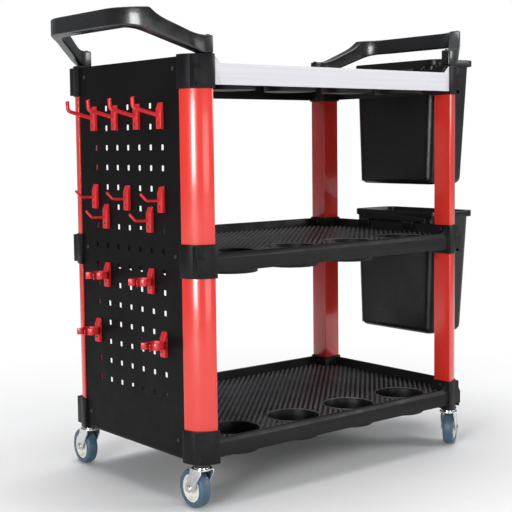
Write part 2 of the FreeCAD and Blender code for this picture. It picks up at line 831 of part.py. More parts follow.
def caster_stem(name, corner):
    body = new_body(name)
    half = new_sketch(body, name + "_half", "XZ_Plane")
    flange = "crown_bottom - face_gap"
    outline(half, [
        ("0", f"{flange} - flange_thick"),
        ("stem_radius + flange_out", f"{flange} - flange_thick", "flange_round"),
        ("stem_radius + flange_out", flange),
        ("stem_radius", flange),
        ("stem_radius", "shelf_level + stem_deep", "stem_round"),
        ("0", "shelf_level + stem_deep"),
    ])
    revolve(half, "V_Axis")
    caster_place(body, corner)
    return keep(body, name)


def caster_race(name, corner):
    """The fixed upper race and its dust seal, flat against the collar."""
    body = new_body(name)
    half = new_sketch(body, name + "_half", "XZ_Plane")
    outline(half, [
        ("stem_radius + turn_clear", "shelf_level - race_tall"),
        ("race_radius - race_bevel", "shelf_level - race_tall"),
        ("race_radius", "shelf_level - race_tall + race_bevel"),
        ("race_radius", "shelf_level"),
        ("stem_radius + turn_clear", "shelf_level"),
    ])
    revolve(half, "V_Axis")
    caster_place(body, corner)
    return keep(body, name)


def caster_fork(name, corner):
    """Pressed steel: a domed crown round the stem and two swept-back legs down to the axle."""
    body = new_body(name)
    legs = new_sketch(body, name + "_legs", "XZ_Plane")
    outline(legs, FORK_LEG)
    pad(legs, "fork_inside + 2 * fork_metal", both_sides=True)
    slot = new_sketch(body, name + "_slot", "YZ_Plane")
    rectangle(slot, "-fork_inside / 2", "fork_inside / 2", "0", "crown_bottom", "fork_round")
    pocket(slot, "4 * crown_radius + 2 * caster_trail", both_sides=True)
    crown = new_sketch(body, name + "_crown", offset="crown_bottom")
    circle(crown, "0", "0", "crown_radius")
    pad(crown, "crown_thick")
    raised = new_sketch(body, name + "_raised", offset="crown_bottom + crown_thick / 2")
    circle(raised, "0", "0", "race_radius - race_bevel")
    pad(raised, "shelf_level - race_tall - face_gap - crown_bottom - crown_thick / 2")
    bore = new_sketch(body, name + "_bore", offset="shelf_level")
    circle(bore, "0", "0", "stem_radius + turn_clear")
    pocket(bore, "shelf_level - crown_bottom + past")
    axle_hole = new_sketch(body, name + "_axle_hole", "XZ_Plane")
    circle(axle_hole, "caster_trail", "wheel_radius", "axle_radius + turn_clear")
    pocket(axle_hole, "2 * fork_inside", both_sides=True)
    caster_place(body, corner)
    return keep(body, name)


def wheel_place(body, corner):
    """Lays a turned piece, drawn about its own +Z, on the axle line of its caster."""
    side_x, side_y, _ = CORNERS[corner]
    heading = CASTER_HEADING[corner]
    lay = about_z(heading).multiply(FreeCAD.Rotation(FreeCAD.Vector(1, 0, 0), 90))
    move(body, f"{side_x} * stem_x + caster_trail * cos({heading})",
         f"{side_y} * stem_y + caster_trail * sin({heading})", "wheel_radius", lay)


def caster_axle(name, corner):
    """A shouldered bolt and its nut, tight on the fork's legs."""
    body = new_body(name)
    half = new_sketch(body, name + "_half", "XZ_Plane")
    leg = "fork_inside / 2 + fork_metal + turn_clear"
    outline(half, [
        ("0", f"-({leg}) - bolt_head"),
        ("axle_radius + bolt_head", f"-({leg}) - bolt_head", "bolt_round"),
        ("axle_radius + bolt_head", f"-({leg})"),
        ("axle_radius", f"-({leg})"),
        ("axle_radius", leg),
        ("axle_radius + bolt_head", leg),
        ("axle_radius + bolt_head", f"{leg} + bolt_head", "bolt_round"),
        ("0", f"{leg} + bolt_head"),
    ])
    revolve(half, "V_Axis")
    wheel_place(body, corner)
    return keep(body, name)


def caster_hub(name, corner):
    """A moulded wheel centre: boss, thin web and wide seat for the tyre."""
    body = new_body(name)
    half = new_sketch(body, name + "_half", "XZ_Plane")
    bore, boss, seat = "axle_radius + turn_clear", "axle_radius + boss_wall", "tyre_inner - turn_clear"
    boss_half, seat_half = "fork_inside / 2 - face_gap", "tyre_wide / 2 - seat_inset"
    lower = [
        (bore, f"-({boss_half})"),
        (boss, f"-({boss_half})"),
        (boss, "-web_half", "web_round"),
        (f"{seat} - seat_wall - seat_slope", "-web_half", "web_round"),
        (f"{seat} - seat_wall", f"-({seat_half})"),
        (seat, f"-({seat_half})"),
    ]
    upper = [(x, f"-({z})", *radius) for x, z, *radius in reversed(lower)]
    outline(half, lower + upper)
    revolve(half, "V_Axis")
    wheel_place(body, corner)
    return keep(body, name)


def caster_tyre(name, corner):
    """A soft tread with rounded shoulders."""
    body = new_body(name)
    half = new_sketch(body, name + "_half", "XZ_Plane")
    outline(half, [
        ("tyre_inner", "-tyre_wide / 2 + tread_bevel"),
        ("tyre_inner + tread_lip", "-tyre_wide / 2"),
        ("wheel_radius", "-tyre_wide / 2", "tread_round"),
        ("wheel_radius", "tyre_wide / 2", "tread_round"),
        ("tyre_inner + tread_lip", "tyre_wide / 2"),
        ("tyre_inner", "tyre_wide / 2 - tread_bevel"),
    ])
    revolve(half, "V_Axis")
    wheel_place(body, corner)
    return keep(body, name)


# ---- Screws: groups of like fasteners ----


def screw(name, radius, head, head_tall, length, x, y, z, turn):
    """A pan-head screw drawn along +Z with its head's seat at the place given."""
    body = new_body(name)
    half = new_sketch(body, name + "_half", "XZ_Plane")
    outline(half, [
        ("0", f"-({length})"),
        (radius, f"-({length})", "screw_tip_round"),
        (radius, "0"),
        (head, "0"),
        (head, head_tall, "screw_head_round"),
        ("0", head_tall),
    ])
    revolve(half, "V_Axis")
    return move(body, x, y, z, turn)


def post_screws(name):
    """One holds each post end, driven from the flat inner face of its collar."""
    levels = [
        "shelf_level + collar_tall - socket_deep / 2",
        "shelf_level + shelf_pitch + socket_deep / 2",
        "shelf_level + shelf_pitch + collar_tall - socket_deep / 2",
        "shelf_level + 2 * shelf_pitch + socket_deep / 2",
    ]
    pieces = []
    for side_x, side_y, _ in CORNERS.values():
        turn = FreeCAD.Rotation(FreeCAD.Vector(0, 1, 0), -90 * side_x)
        for level in levels:
            pieces.append(screw(
                f"{name}_{len(pieces)}", "screw_radius", "screw_head", "screw_head_tall", "screw_long",
                f"{side_x} * (post_corner_x - collar_proud)", f"{side_y} * (post_corner_y + post_radius / 2)",
                level, turn,
            ))
    return keep(join(name, pieces), name)


def handle_screws(name):
    """One down through each handle root into the collar under it."""
    pieces = []
    for side_x, side_y, _ in CORNERS.values():
        pieces.append(screw(
            f"{name}_{len(pieces)}", "handle_screw_radius", "screw_head", "screw_head_tall",
            "handle_screw_long", f"{side_x} * (post_corner_x + screw_head / 2)", f"{side_y} * root_line",
            "shelf_level + 2 * shelf_pitch + collar_tall + band_tall", FreeCAD.Rotation(),
        ))
    return keep(join(name, pieces), name)


def panel_screws(name):
    """Two through the pegboard into the left side of each shelf."""
    pieces = []
    turn = FreeCAD.Rotation(FreeCAD.Vector(0, 1, 0), -90)
    for tier in range(3):
        for side in (-1, 1):
            pieces.append(screw(
                f"{name}_{len(pieces)}", "screw_radius", "screw_head", "screw_head_tall", "screw_long",
                "-panel_face", f"{side} * 4 * hole_pitch",
                f"shelf_level + {tier} * shelf_pitch + floor_top - floor_thick / 2", turn,
            ))
    return keep(join(name, pieces), name)


# ---- The whole cart ----

shelf("bottom_shelf", "shelf_level", sockets_above=True, sockets_below=False, stem_bores=True)
shelf("middle_shelf", "shelf_level + shelf_pitch", sockets_above=True, sockets_below=True, stem_bores=False)
shelf("top_tray", "shelf_level + 2 * shelf_pitch", sockets_above=False, sockets_below=True, stem_bores=False)
tray_trim("top_tray_front_trim")

for corner in CORNERS:
    post(f"lower_post_{corner}", corner, 0)
    post(f"upper_post_{corner}", corner, 1)

handle("left_handle", -1)
handle("right_handle", 1)

pegboard("pegboard_panel")
for index, (column, row) in enumerate(LONG_HOOKS, start=1):
    long_hook(f"long_hook_{index}", column, row)
for index, (column, row) in enumerate(SHORT_HOOKS, start=1):
    short_hook(f"short_hook_{index}", column, row)
for index, (column, row) in enumerate(SPRING_CLIPS, start=1):
    spring_clip(f"spring_clip_{index}", column, row, CLIP_PEGS[row])

hung_bin("lower_bin", 1)
hung_bin("upper_bin", 2)

for corner in CORNERS:
    caster_stem(f"caster_stem_{corner}", corner)
    caster_race(f"caster_race_{corner}", corner)
    caster_fork(f"caster_fork_{corner}", corner)
    caster_axle(f"caster_axle_{corner}", corner)
    caster_hub(f"caster_hub_{corner}", corner)
    caster_tyre(f"caster_tyre_{corner}", corner)

post_screws("post_screws")
handle_screws("handle_screws")
panel_screws("panel_screws")

sheet.clear(SCRATCH_CELL)
doc.recompute()

# ---- Checks, then one file per sub-part ----

broken = [item.Label for item in doc.Objects if "Invalid" in item.State or "Error" in item.State]
bad_shapes = [item.Label for item in nodes if item.Shape.isNull() or not item.Shape.isValid()]
if broken or bad_shapes:
    raise RuntimeError(f"not built: {broken}; bad shapes: {bad_shapes}")

os.makedirs("parts", exist_ok=True)
for item in nodes:
    item.Shape.exportStep(f"parts/{item.Label}.step")
print(len(nodes), "sub-parts written")
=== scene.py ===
import json
import math

import bmesh
import bpy
from mathutils import Matrix, Vector


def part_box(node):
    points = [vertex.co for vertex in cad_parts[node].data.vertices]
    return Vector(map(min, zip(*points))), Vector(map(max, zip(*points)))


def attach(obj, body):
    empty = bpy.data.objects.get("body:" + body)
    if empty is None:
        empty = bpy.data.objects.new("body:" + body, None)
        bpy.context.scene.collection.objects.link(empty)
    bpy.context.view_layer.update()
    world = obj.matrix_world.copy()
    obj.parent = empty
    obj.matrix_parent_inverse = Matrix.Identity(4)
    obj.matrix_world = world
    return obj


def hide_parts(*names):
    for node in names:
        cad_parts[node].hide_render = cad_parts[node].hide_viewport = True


bl_info = {
    "name": "Rolling Utility Cart",
    "version": (1, 0, 0),
    "blender": (4, 5, 0),
    "location": "View3D > Sidebar > Cart",
    "description": "Finishes the packed cart: mouldings, posts, pegboard, hooks, bins and casters",
    "category": "Add Mesh",
}

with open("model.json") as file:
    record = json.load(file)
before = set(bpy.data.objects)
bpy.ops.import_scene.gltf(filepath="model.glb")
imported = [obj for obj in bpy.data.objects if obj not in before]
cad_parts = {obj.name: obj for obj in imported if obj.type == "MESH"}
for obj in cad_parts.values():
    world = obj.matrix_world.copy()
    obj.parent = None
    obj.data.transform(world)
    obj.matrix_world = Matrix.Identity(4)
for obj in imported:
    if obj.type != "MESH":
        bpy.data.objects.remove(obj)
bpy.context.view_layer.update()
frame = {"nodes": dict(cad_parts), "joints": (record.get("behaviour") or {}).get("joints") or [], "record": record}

MM = 0.001
SHELVES = ("bottom_shelf", "middle_shelf", "top_tray")
CORNERS = ("front_left", "front_right", "back_right", "back_left")
JOINTS = {joint["name"]: joint for joint in frame["joints"]}
BODIES = frame["record"]["behaviour"]["bodies"]
BODY_OF = {node: body for body, nodes in BODIES.items() for node in nodes}


def nodes_like(start):
    """The CAD nodes whose names start so, in order."""
    return sorted(name for name in frame["nodes"] if name.startswith(start))


# ---------------------------------------------------------------- sizes and colours


def millimetres(name, default, description):
    """A size property in millimetres."""
    return bpy.props.FloatProperty(
        name=name, default=default, description=description, min=0.0, precision=2
    )


def paint(name, default, description):
    """A colour property, linear."""
    return bpy.props.FloatVectorProperty(
        name=name, default=default, description=description, subtype="COLOR", size=3, min=0.0, max=1.0
    )


class CartSizes(bpy.types.PropertyGroup):
    """Sizes that Blender adds to the CAD shapes, all in millimetres"""

    moulding_round: millimetres("Moulding edge", 0.9, "Rounding of the shelf mouldings' edges, in mm")
    post_round: millimetres("Post edge", 1.0, "Rounding of the posts' edges, in mm")
    handle_round: millimetres("Handle edge", 3.6, "Rounding of the handles' edges, in mm")
    hook_round: millimetres("Hook edge", 0.9, "Rounding of the hooks' plates, in mm")
    bin_round: millimetres("Bin edge", 0.9, "Rounding of the bins' rims, in mm")
    bin_bottom: millimetres("Bin bottom", 15.0, "Rounding round the bins' bottoms, outside, in mm")
    bin_skin: millimetres("Bin skin", 2.6, "Thickness of the bins' walls, in mm")
    steel_round: millimetres("Steel edge", 0.5, "Rounding of the pressed steel's edges, in mm")
    floor_up: millimetres("Floor height", 41.0, "Height of a shelf's floor above its foot, in mm")
    rib_pitch: millimetres("Rib pitch", 11.0, "Distance between the floor's slanting ribs, in mm")
    rib_wide: millimetres("Rib width", 5.4, "Width of one rib, in mm")
    rib_tall: millimetres("Rib height", 1.5, "How far a rib stands above the floor, in mm")
    cup_radius: millimetres("Cup radius", 54.0, "Radius of a bottle cup at the floor, in mm")
    cup_pitch: millimetres("Cup pitch", 159.0, "Distance between the cups' middles, in mm")
    cup_line: millimetres("Cup line", 159.0, "The cups' distance from the cart's middle, in mm")
    cup_bead: millimetres("Cup bead", 2.2, "Width of the raised bead round a cup, in mm")


class CartColours(bpy.types.PropertyGroup):
    """Base colours of the finishes, linear"""

    moulding: paint("Moulding", (0.0045, 0.0043, 0.005), "Black plastic of the shelves")
    # The rib colour is painted sheen, not wear: it is lighter than the moulding to stand in for the light the rib
    # tops reflect.
    rib: paint("Ribs", (0.10, 0.094, 0.097), "Worn tops of the floor's ribs")
    silver: paint("Silver", (0.545, 0.54, 0.57), "Strip on the top tray")
    post: paint("Posts", (0.60, 0.027, 0.017), "Coating of the posts")
    handle: paint("Handles", (0.0035, 0.0035, 0.004), "Black plastic of the handles")
    panel: paint("Pegboard", (0.0035, 0.0034, 0.0038), "Powder coat of the pegboard")
    hook: paint("Hooks", (0.52, 0.015, 0.018), "Red plastic of the hooks")
    bin: paint("Bins", (0.005, 0.005, 0.0055), "Black plastic of the bins")
    screw: paint("Screws", (0.05, 0.05, 0.052), "Blackened steel")
    zinc: paint("Zinc", (0.80, 0.80, 0.79), "Bright plating of the forks")
    seal: paint("Dust seal", (0.012, 0.012, 0.012), "Black rubber")
    hub: paint("Hub", (0.70, 0.69, 0.64), "Cream plastic")
    hole: paint("Hub holes", (0.03, 0.028, 0.025), "Shaded holes in the hubs")
    tyre: paint("Tyre", (0.045, 0.09, 0.135), "Blue-grey tread")
    floor: paint("Floor", (0.80, 0.80, 0.80), "Pale floor")


def sizes():
    """The sizes set in the sidebar."""
    return bpy.context.scene.cart_sizes


def colours():
    """The colours set in the sidebar."""
    return bpy.context.scene.cart_colours


# ---------------------------------------------------------------- materials


class Finish:
    """A material under construction: one Principled shader and the textures that vary it."""

    def __init__(self, name, colour, roughness, metallic=0.0, **sockets):
        self.material = bpy.data.materials.new(name)
        self.material.use_nodes = True
        self.tree = self.material.node_tree
        self.shader = self.tree.nodes["Principled BSDF"]
        self.colour = tuple(colour)
        self.shader.inputs["Base Color"].default_value = (*self.colour, 1)
        self.shader.inputs["Roughness"].default_value = roughness
        self.shader.inputs["Metallic"].default_value = metallic
        for socket, value in sockets.items():
            self.shader.inputs[socket.replace("_", " ")].default_value = value
        self.material.diffuse_color = (*self.colour, 1)
        self.bumps = None

    def noise(self, per_metre, stretch=(1, 1, 1), detail=4.0, rough=0.5):
        """Noise with so many features to the metre, stretched along the part's own axes."""
        place = self.tree.nodes.new("ShaderNodeTexCoord")
        mapping = self.tree.nodes.new("ShaderNodeMapping")
        mapping.inputs["Scale"].default_value = stretch
        texture = self.tree.nodes.new("ShaderNodeTexNoise")
        texture.inputs["Scale"].default_value = per_metre
        texture.inputs["Detail"].default_value = detail
        texture.inputs["Roughness"].default_value = rough
        self.tree.links.new(place.outputs["Object"], mapping.inputs["Vector"])
        self.tree.links.new(mapping.outputs["Vector"], texture.inputs["Vector"])
        return texture.outputs["Fac"]

    def cells(self, per_metre):
        """Distance from the middles of random cells, for a leather-like grain."""
        place = self.tree.nodes.new("ShaderNodeTexCoord")
        texture = self.tree.nodes.new("ShaderNodeTexVoronoi")
        texture.feature = "SMOOTH_F1"
        texture.inputs["Scale"].default_value = per_metre
        self.tree.links.new(place.outputs["Object"], texture.inputs["Vector"])
        return texture.outputs["Distance"]

    def ramp(self, factor, low, high, spread=(0.3, 0.7)):
        """Runs from one value or colour to another as the factor crosses the spread."""
        node = self.tree.nodes.new("ShaderNodeValToRGB")
        for stop, place, value in zip(node.color_ramp.elements, spread, (low, high)):
            stop.position = place
            stop.color = (*value, 1) if hasattr(value, "__len__") else (value, value, value, 1)
        self.tree.links.new(factor, node.inputs["Fac"])
        return node.outputs["Color"]

    def mottle(self, factor, darker=0.8, lighter=1.2, spread=(0.3, 0.7)):
        """Varies the base colour between two strengths of itself."""
        low = tuple(channel * darker for channel in self.colour)
        high = tuple(min(1.0, channel * lighter) for channel in self.colour)
        self.tree.links.new(self.ramp(factor, low, high, spread), self.shader.inputs["Base Color"])
        return self

    def polish(self, factor, low, high, spread=(0.3, 0.7)):
        """Varies the roughness between two values."""
        self.tree.links.new(self.ramp(factor, low, high, spread), self.shader.inputs["Roughness"])
        return self

    def bump(self, factor, depth, strength=1.0):
        """Adds relief of the given depth in millimetres on top of any there already."""
        node = self.tree.nodes.new("ShaderNodeBump")
        node.inputs["Strength"].default_value = strength
        node.inputs["Distance"].default_value = depth * MM
        self.tree.links.new(factor, node.inputs["Height"])
        if self.bumps is not None:
            self.tree.links.new(self.bumps, node.inputs["Normal"])
        self.bumps = node.outputs["Normal"]
        self.tree.links.new(self.bumps, self.shader.inputs["Normal"])
        return self


def moulded_black():
    finish = Finish("moulded_black", colours().moulding, 0.42, Specular_IOR_Level=0.2)
    finish.mottle(finish.noise(9, detail=6), 0.75, 1.35)
    finish.polish(finish.noise(26, detail=8), 0.33, 0.52)
    finish.bump(finish.cells(620), 0.09, 0.55)
    finish.bump(finish.noise(12), 0.5, 0.15)
    return finish.material


# Painted sheen: the ribs are the shelves' black plastic, given a lighter base colour to stand in for the light
# their tops reflect.
def rib_painted_sheen():
    finish = Finish("rib_painted_sheen", colours().rib, 0.5, Specular_IOR_Level=0.25)
    finish.mottle(finish.noise(14, detail=6), 0.72, 1.3)
    finish.polish(finish.noise(60, detail=6), 0.42, 0.6)
    finish.bump(finish.noise(900), 0.05, 0.5)
    return finish.material


def brushed_silver():
    finish = Finish("brushed_silver", colours().silver, 0.48, 0.1, Specular_IOR_Level=0.3)
    finish.mottle(finish.noise(30, (0.04, 1, 9), detail=6), 0.93, 1.07)
    finish.polish(finish.noise(90, (0.03, 1, 6), detail=5), 0.42, 0.54)
    finish.bump(finish.noise(240, (0.03, 1, 8), detail=3), 0.02, 0.4)
    return finish.material


def post_coating():
    finish = Finish("post_red", colours().post, 0.3, Coat_Weight=0.6, Coat_Roughness=0.12)
    finish.mottle(finish.noise(7, (3, 3, 0.5), detail=5), 0.95, 1.04)
    finish.polish(finish.noise(45, (6, 6, 0.25), detail=5), 0.27, 0.31)
    finish.bump(finish.noise(520, detail=2), 0.03, 0.35)
    return finish.material


def handle_gloss():
    finish = Finish("handle_black", colours().handle, 0.24, Coat_Weight=0.35, Coat_Roughness=0.1)
    finish.mottle(finish.noise(10, detail=6), 0.8, 1.3)
    finish.polish(finish.noise(30, detail=8), 0.2, 0.34)
    finish.bump(finish.noise(300, detail=3), 0.03, 0.35)
    return finish.material


def powder_coat():
    finish = Finish("powder_black", colours().panel, 0.5, Specular_IOR_Level=0.12)
    finish.mottle(finish.noise(6, detail=8), 0.82, 1.25)
    finish.polish(finish.noise(20, detail=8), 0.44, 0.58)
    finish.bump(finish.noise(420, detail=2), 0.08, 0.5)
    return finish.material


def hook_plastic():
    finish = Finish("hook_red", colours().hook, 0.32)
    finish.mottle(finish.noise(30, detail=5), 0.88, 1.1)
    finish.polish(finish.noise(80, detail=6), 0.26, 0.42)
    finish.bump(finish.noise(700, detail=2), 0.04, 0.4)
    return finish.material


def bin_plastic():
    finish = Finish("bin_black", colours().bin, 0.3, Specular_IOR_Level=0.3)
    finish.mottle(finish.noise(5, detail=7), 0.8, 1.25)
    finish.polish(finish.noise(18, detail=8), 0.24, 0.38)
    finish.bump(finish.noise(260, detail=3), 0.04, 0.35)
    return finish.material


def black_steel():
    finish = Finish("black_steel", colours().screw, 0.4, 0.7)
    finish.mottle(finish.noise(200, detail=5), 0.7, 1.5)
    finish.polish(finish.noise(350, detail=5), 0.32, 0.5)
    return finish.material


def bright_zinc():
    finish = Finish("bright_zinc", colours().zinc, 0.2, 1.0)
    finish.mottle(finish.noise(60, detail=7), 0.86, 1.06)
    finish.polish(finish.noise(120, detail=7), 0.14, 0.3)
    finish.bump(finish.noise(800, detail=3), 0.02, 0.35)
    return finish.material


def seal_rubber():
    finish = Finish("seal_black", colours().seal, 0.6)
    finish.polish(finish.noise(300, detail=5), 0.5, 0.7)
    finish.bump(finish.noise(900, detail=3), 0.04, 0.5)
    return finish.material


def hub_plastic():
    finish = Finish("hub_cream", colours().hub, 0.34)
    finish.mottle(finish.noise(70, detail=6), 0.9, 1.05)
    finish.polish(finish.noise(150, detail=5), 0.28, 0.44)
    finish.bump(finish.noise(700, detail=2), 0.03, 0.3)
    return finish.material


# Near-black painted shade, laid on the hubs' hole floors and the screws' cross recesses where no hollow is cut.
def painted_recess_shade():
    finish = Finish("painted_recess_shade", colours().hole, 0.7)
    finish.mottle(finish.noise(400, detail=4), 0.7, 1.3)
    return finish.material


def tyre_tread():
    finish = Finish("tyre_blue", colours().tyre, 0.42)
    finish.mottle(finish.noise(55, detail=7), 0.82, 1.18)
    finish.polish(finish.noise(130, detail=6), 0.34, 0.54)
    finish.bump(finish.noise(1100, detail=3), 0.05, 0.5)
    return finish.material


FINISHES = {
    "shelf_black": moulded_black,
    "rib_painted_sheen": rib_painted_sheen,
    "silver_trim": brushed_silver,
    "post_red": post_coating,
    "handle_black": handle_gloss,
    "panel_black": powder_coat,
    "hook_red": hook_plastic,
    "bin_black": bin_plastic,
    "screw_black": black_steel,
    "zinc": bright_zinc,
    "seal_black": seal_rubber,
    "hub_cream": hub_plastic,
    "painted_recess_shade": painted_recess_shade,
    "tyre_blue": tyre_tread,
}
made_finishes = {}


def finish_of(name):
    """The material of that name, made on first use."""
    if name not in made_finishes:
        made_finishes[name] = FINISHES[name]()
    return made_finishes[name]


# ---------------------------------------------------------------- mesh helpers


def merged_copy(node, flat_within=0.5):
    """A welded copy of a CAD node's mesh, its flat faces made whole again."""
    shape = bmesh.new()
    shape.from_mesh(frame["nodes"][node].data)
    bmesh.ops.remove_doubles(shape, verts=shape.verts, dist=0.002 * MM)
    bmesh.ops.dissolve_limit(
        shape, angle_limit=math.radians(flat_within), verts=shape.verts, edges=shape.edges
    )
    return shape


def round_edges(shape, radius, segments=2, sharper_than=28, within=None, clamp=False):
    """Rounds every edge whose faces meet more sharply than the angle in degrees."""
    edges = [
        edge for edge in shape.edges
        if edge.is_manifold and edge.calc_face_angle() > math.radians(sharper_than)
        and (within is None or within(edge))
    ]
    bmesh.ops.bevel(
        shape, geom=edges, offset=radius * MM, offset_type="OFFSET", affect="EDGES", segments=segments,
        profile=0.5, material=-1, clamp_overlap=clamp, loop_slide=True,
    )
    return shape


def smooth_curves(shape, crease):
    """Shades curved faces smooth and leaves broad flat ones flat, beside rounded edges too."""
    area = {face: face.calc_area() for face in shape.faces}
    for face in shape.faces:
        face.smooth = any(
            math.radians(1.2) < edge.calc_face_angle(0) < math.radians(crease)
            and min(area[near] for near in edge.link_faces) > 0.25 * area[face]
            for edge in face.edges
        )


def add_piece(shape, name, body, slot, *finishes, stands_for=(), crease=32):
    """Turns a bmesh into a finished piece that rides on a body."""
    mesh = bpy.data.meshes.new(name)
    smooth_curves(shape, crease)
    shape.to_mesh(mesh)
    shape.free()
    if not mesh.polygons:
        raise RuntimeError(f"{name} has no faces")
    mesh.set_sharp_from_angle(angle=math.radians(crease))
    for finish in finishes or (slot,):
        mesh.materials.append(finish_of(finish))
    piece = bpy.data.objects.new(name, mesh)
    bpy.context.scene.collection.objects.link(piece)
    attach(piece, body)
    if stands_for:
        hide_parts(*stands_for)
    return piece


def soften(node, radius, slot, segments=2, crease=32):
    """Replaces a CAD node with a copy whose edges are rounded."""
    shape = round_edges(merged_copy(node), radius, segments)
    return add_piece(shape, node + "_finished", BODY_OF[node], slot, stands_for=[node], crease=crease)


def turned(profile, steps=72, closed=False):
    """A solid of revolution about +Z through (radius, height) points in millimetres."""
    shape = bmesh.new()
    points = [shape.verts.new((radius * MM, 0, height * MM)) for radius, height in profile]
    pairs = list(zip(points, points[1:] + points[:1])) if closed else list(zip(points, points[1:]))
    edges = [shape.edges.new(pair) for pair in pairs]
    bmesh.ops.spin(
        shape, geom=points + edges, cent=(0, 0, 0), axis=(0, 0, 1), dvec=(0, 0, 0),
        angle=2 * math.pi, steps=steps, use_merge=True, use_duplicate=False,
    )
    bmesh.ops.remove_doubles(shape, verts=shape.verts, dist=0.001 * MM)
    bmesh.ops.recalc_face_normals(shape, faces=shape.faces)
    return shape


def prism(sides, radius, low, high):
    """An upright prism with so many sides between two heights, in millimetres."""
    shape = bmesh.new()
    bmesh.ops.create_cone(
        shape, cap_ends=True, segments=sides, radius1=radius * MM, radius2=radius * MM,
        depth=(high - low) * MM,
    )
    bmesh.ops.translate(shape, vec=(0, 0, (high + low) / 2 * MM), verts=shape.verts)
    return shape


def add_shape(target, source, place=None, material=0):
    """Moves a bmesh into place and adds it to another, which takes it over."""
    if place is not None:
        bmesh.ops.transform(source, matrix=place, verts=source.verts)
    if material is not None:
        for face in source.faces:
            face.material_index = material
    scrap = bpy.data.meshes.new("scrap")
    source.to_mesh(scrap)
    source.free()
    target.from_mesh(scrap)
    bpy.data.meshes.remove(scrap)


def toward(point, axis):
    """The placement that takes the origin to a point and +Z to an axis."""
    turn = Vector((0, 0, 1)).rotation_difference(Vector(axis)).to_matrix().to_4x4()
    return Matrix.Translation(Vector(point)) @ turn


# ---------------------------------------------------------------- shelves


def rib_stretches(offset, half_x, front, back, blocks, cups):
    """Where the line y = x + offset may carry a rib, as (start x, end x), in millimetres."""
    start, end = max(-half_x, front - offset), min(half_x, back - offset)
    gaps = []
    for left, right, low, high in blocks:
        gaps.append((max(left, low - offset), min(right, high - offset)))
    for x, y, radius in cups:
        away = (x + offset - y) / math.sqrt(2)
        if abs(away) < radius:
            middle = (x + y - offset) / 2
            reach = math.sqrt(radius * radius - away * away) / math.sqrt(2)
            gaps.append((middle - reach, middle + reach))
    stretches = [(start, end)]
    for low, high in gaps:
        if low >= high:
            continue
        cut = []
        for a, b in stretches:
            cut += [(a, min(b, low)), (max(a, high), b)]
        stretches = [(a, b) for a, b in cut if b > a]
    return stretches


def one_rib(length, wide, tall):
    """A low rib along +X with a rounded top and sloping ends, its foot at height 0."""
    shape = bmesh.new()
    bmesh.ops.create_cube(shape, size=1, matrix=Matrix.Diagonal((length, wide, tall, 1)))
    bmesh.ops.translate(shape, vec=(0, 0, tall / 2), verts=shape.verts)
    foot = [face for face in shape.faces if face.normal.z < -0.5]
    bmesh.ops.delete(shape, geom=foot, context="FACES")
    top = [edge for edge in shape.edges if all(v.co.z > tall / 2 for v in edge.verts)]
    bmesh.ops.bevel(
        shape, geom=top, offset=tall * 0.8, offset_type="OFFSET", affect="EDGES", segments=2,
        profile=0.5, material=-1, clamp_overlap=True, loop_slide=True,
    )
    return shape


def floor_ribs(shelf):
    """Slanting ribs over a shelf's floor, cut short round the cups and the corner collars."""
    low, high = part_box(shelf)
    size = sizes()
    floor = low.z / MM + size.floor_up
    well_half, well_front, well_back = 356.0, -213.0, 214.5
    collar_x, collar_y = 323.0, 177.0
    cups = [(step * size.cup_pitch, -size.cup_line, size.cup_radius + size.cup_bead + 1.6)
            for step in (-1.5, -0.5, 0.5, 1.5)]
    blocks = [
        (left, right, front, back)
        for left, right in ((-well_half, -collar_x), (collar_x, well_half))
        for front, back in ((well_front, -collar_y), (collar_y, well_back))
    ]
    ribs = bmesh.new()
    step = size.rib_pitch * math.sqrt(2)
    count = int((well_half + well_back) / step) + 1
    for line in range(-count, count + 1):
        for start, end in rib_stretches(line * step, well_half, well_front, well_back, blocks, cups):
            length = (end - start) * math.sqrt(2)
            if length < size.rib_wide * 1.5:
                continue
            middle = (start + end) / 2
            place = Matrix.Translation(Vector((middle, middle + line * step, floor)) * MM)
            place = place @ Matrix.Rotation(math.radians(45), 4, "Z")
            add_shape(ribs, one_rib(length * MM, size.rib_wide * MM, size.rib_tall * MM), place)
    for x, y, _ in cups:
        inner, outer = size.cup_radius + 0.2, size.cup_radius + size.cup_bead
        bead = turned([
            (inner, -0.2), (inner, size.rib_tall * 0.7), (inner + 0.5, size.rib_tall),
            (outer - 0.5, size.rib_tall), (outer, size.rib_tall * 0.7), (outer, -0.2),
        ])
        add_shape(ribs, bead, Matrix.Translation(Vector((x, y, floor)) * MM))
    return ribs


class CART_OT_shelves(bpy.types.Operator):
    """Rounds the three shelf mouldings and lays the ribs on their floors"""

    bl_idname = "cart.shelves"
    bl_label = "Shelves"

    def execute(self, context):
        for shelf in SHELVES:
            soften(shelf, sizes().moulding_round, "shelf_black")
            add_piece(floor_ribs(shelf), shelf + "_ribs", BODY_OF[shelf], "shelf_black", "rib_painted_sheen",
                      crease=50)
        return {"FINISHED"}


class CART_OT_front_trim(bpy.types.Operator):
    """Brushed silver strip along the front of the top tray"""

    bl_idname = "cart.front_trim"
    bl_label = "Front trim"

    def execute(self, context):
        node = "top_tray_front_trim"
        shape = round_edges(merged_copy(node), 0.35, clamp=True)
        add_piece(shape, node + "_finished", BODY_OF[node], "silver_trim", stands_for=[node])
        return {"FINISHED"}


# ---------------------------------------------------------------- posts and handles


class CART_OT_posts(bpy.types.Operator):
    """Coated quarter-round posts between the shelves"""

    bl_idname = "cart.posts"
    bl_label = "Posts"

    def execute(self, context):
        for node in nodes_like("lower_post_") + nodes_like("upper_post_"):
            soften(node, sizes().post_round, "post_red", segments=3)
        return {"FINISHED"}


class CART_OT_handles(bpy.types.Operator):
    """Glossy push handles with well rounded edges"""

    bl_idname = "cart.handles"
    bl_label = "Handles"

    def execute(self, context):
        for node in ("left_handle", "right_handle"):
            soften(node, sizes().handle_round, "handle_black", segments=4, crease=40)
        return {"FINISHED"}


# ---------------------------------------------------------------- pegboard, hooks and clips


